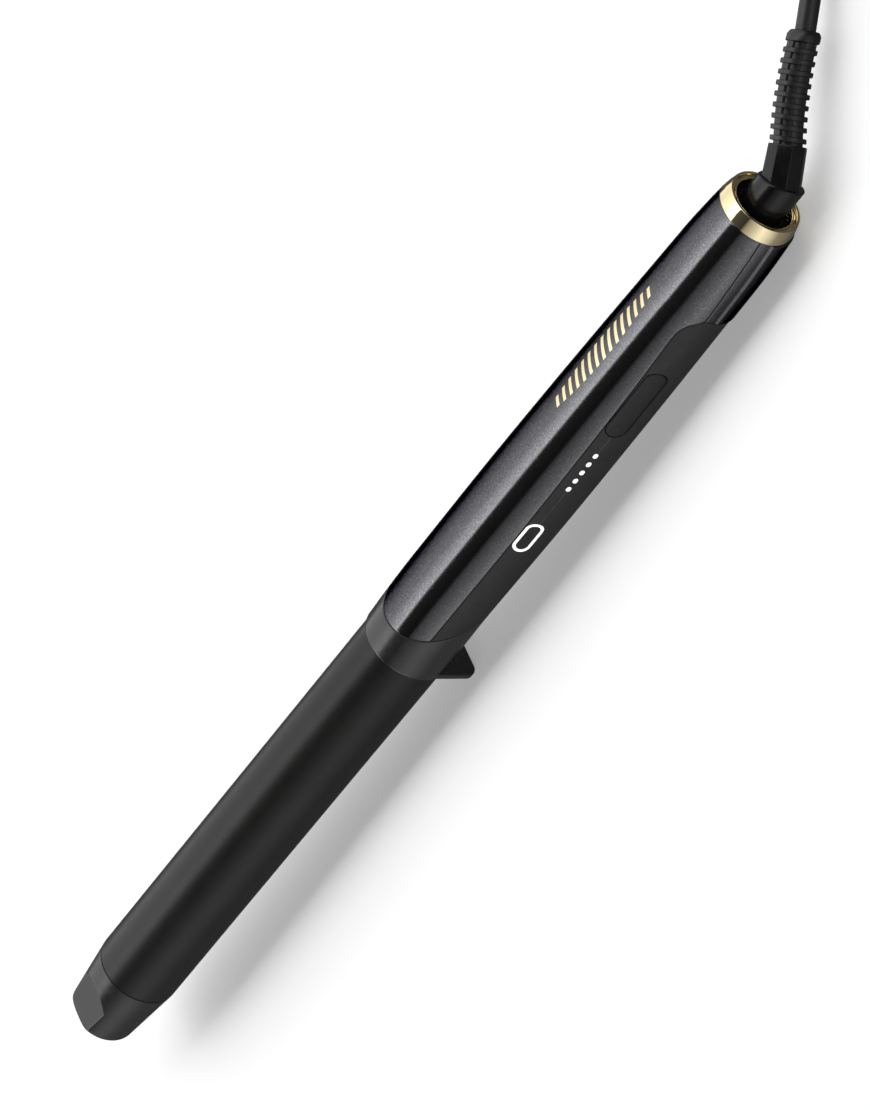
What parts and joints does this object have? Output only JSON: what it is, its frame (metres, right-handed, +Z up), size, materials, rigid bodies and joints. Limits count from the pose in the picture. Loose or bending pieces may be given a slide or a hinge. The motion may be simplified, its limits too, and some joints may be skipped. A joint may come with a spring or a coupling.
{
  "type": "curling wand",
  "caption": "Clipless curling wand: smooth round heated barrel with a cool tip and a small foot, side controls, gold end ring and a ribbed cord swivel.",
  "frame": {"origin": "middle of the foot's base, on the surface that the wand rests on", "axes": "+Z up; +X along the wand towards the cool tip, in plan; +Y towards the side that carries the controls. The barrel's axis rises by 2.3 degrees towards the tip, because the wand rests on its foot and the heel of its handle."},
  "size_m": [0.6014, 0.0866, 0.041],
  "materials": {
    "barrel_coating": "matte ceramic coating",
    "tip_plastic": "matte heat-resistant plastic",
    "collar_plastic": "matte heat-resistant plastic",
    "flake_plastic": "glossy charcoal with fine metallic flake",
    "grip_plastic": "matte soft-touch",
    "button_plastic": "satin",
    "light_plastic": "clear white, lit from behind",
    "gold_plating": "polished gold plating",
    "swivel_plastic": "glossy",
    "cord_rubber": "satin flexible PVC",
    "tie_fabric": "woven hook-and-loop strap",
    "aluminium": "extruded",
    "steel": "zinc plated",
    "brass_contact": "bare",
    "ceramic": "fired ceramic",
    "film": "amber polyimide film",
    "carrier_plastic": "heat-resistant moulding",
    "board_laminate": "solder-masked laminate",
    "component_plastic": "moulded case",
    "capacitor_plastic": "moulded case",
    "lead_insulation": "silicone insulation"
  },
  "bodies": {
    "wand": {"barrel_tube": "barrel_coating", "cool_tip": "tip_plastic", "tip_anchor_plate": "steel", "tip_screw": "steel", "upper_heat_spreader": "aluminium", "lower_heat_spreader": "aluminium", "ptc_chips": "ceramic", "electrode_strips": "brass_contact", "insulating_films": "film", "temperature_sensor": "ceramic", "thermal_fuse": "steel", "barrel_carrier": "carrier_plastic", "barrel_grub_screws": "steel", "collar_with_foot": "collar_plastic", "upper_shell": "flake_plastic", "grip_shell": "grip_plastic", "rear_lower_shell": "flake_plastic", "button_light_ring": "light_plastic", "indicator_light_guide": "light_plastic", "indicator_leds": "light_plastic", "rocker_pivot_pin": "steel", "circuit_board": "board_laminate", "board_screws": "steel", "board_chassis": "carrier_plastic", "tact_switches": "component_plastic", "controller_chip": "component_plastic", "power_triac": "component_plastic", "filter_capacitor": "capacitor_plastic", "voltage_regulator": "component_plastic", "end_ring": "gold_plating", "swivel_socket": "swivel_plastic", "brush_contacts": "brass_contact", "brush_holder": "component_plastic", "heater_leads": "lead_insulation", "sensor_leads": "lead_insulation", "mains_leads": "lead_insulation", "cord": "cord_rubber", "cord_coil": "cord_rubber", "cord_tie": "tie_fabric", "cord_tail": "cord_rubber", "plug_body": "cord_rubber", "plug_pins": "brass_contact"},
    "power_button": {"power_button": "button_plastic"},
    "temperature_rocker": {"temperature_rocker": "button_plastic"},
    "cord_swivel": {"retaining_clip": "steel", "contact_drum": "carrier_plastic", "slip_rings": "brass_contact", "swivel_elbow": "swivel_plastic", "strain_relief": "swivel_plastic"}
  },
  "joints": [
    {"name": "power_button_press", "type": "slide", "parent": "wand", "child": "power_button", "axis": [0.0112, -0.9598, -0.2804], "range_m": [0, 0.0005], "stiffness_N_per_m": 2500, "springref_m": -0.0004},
    {"name": "temperature_rocker_tilt", "type": "hinge", "parent": "wand", "child": "temperature_rocker", "pos_m": [-0.13306, 0.00998, 0.01876], "axis": [0.0384, 0.2807, -0.959], "range_deg": [-2, 2], "stiffness_Nm_per_rad": 0.6},
    {"name": "cord_swivel_turn", "type": "hinge", "parent": "wand", "child": "cord_swivel", "pos_m": [-0.19969, 0, 0.01317], "axis": [-0.9992, 0, -0.04], "continuous": true}
  ]
}
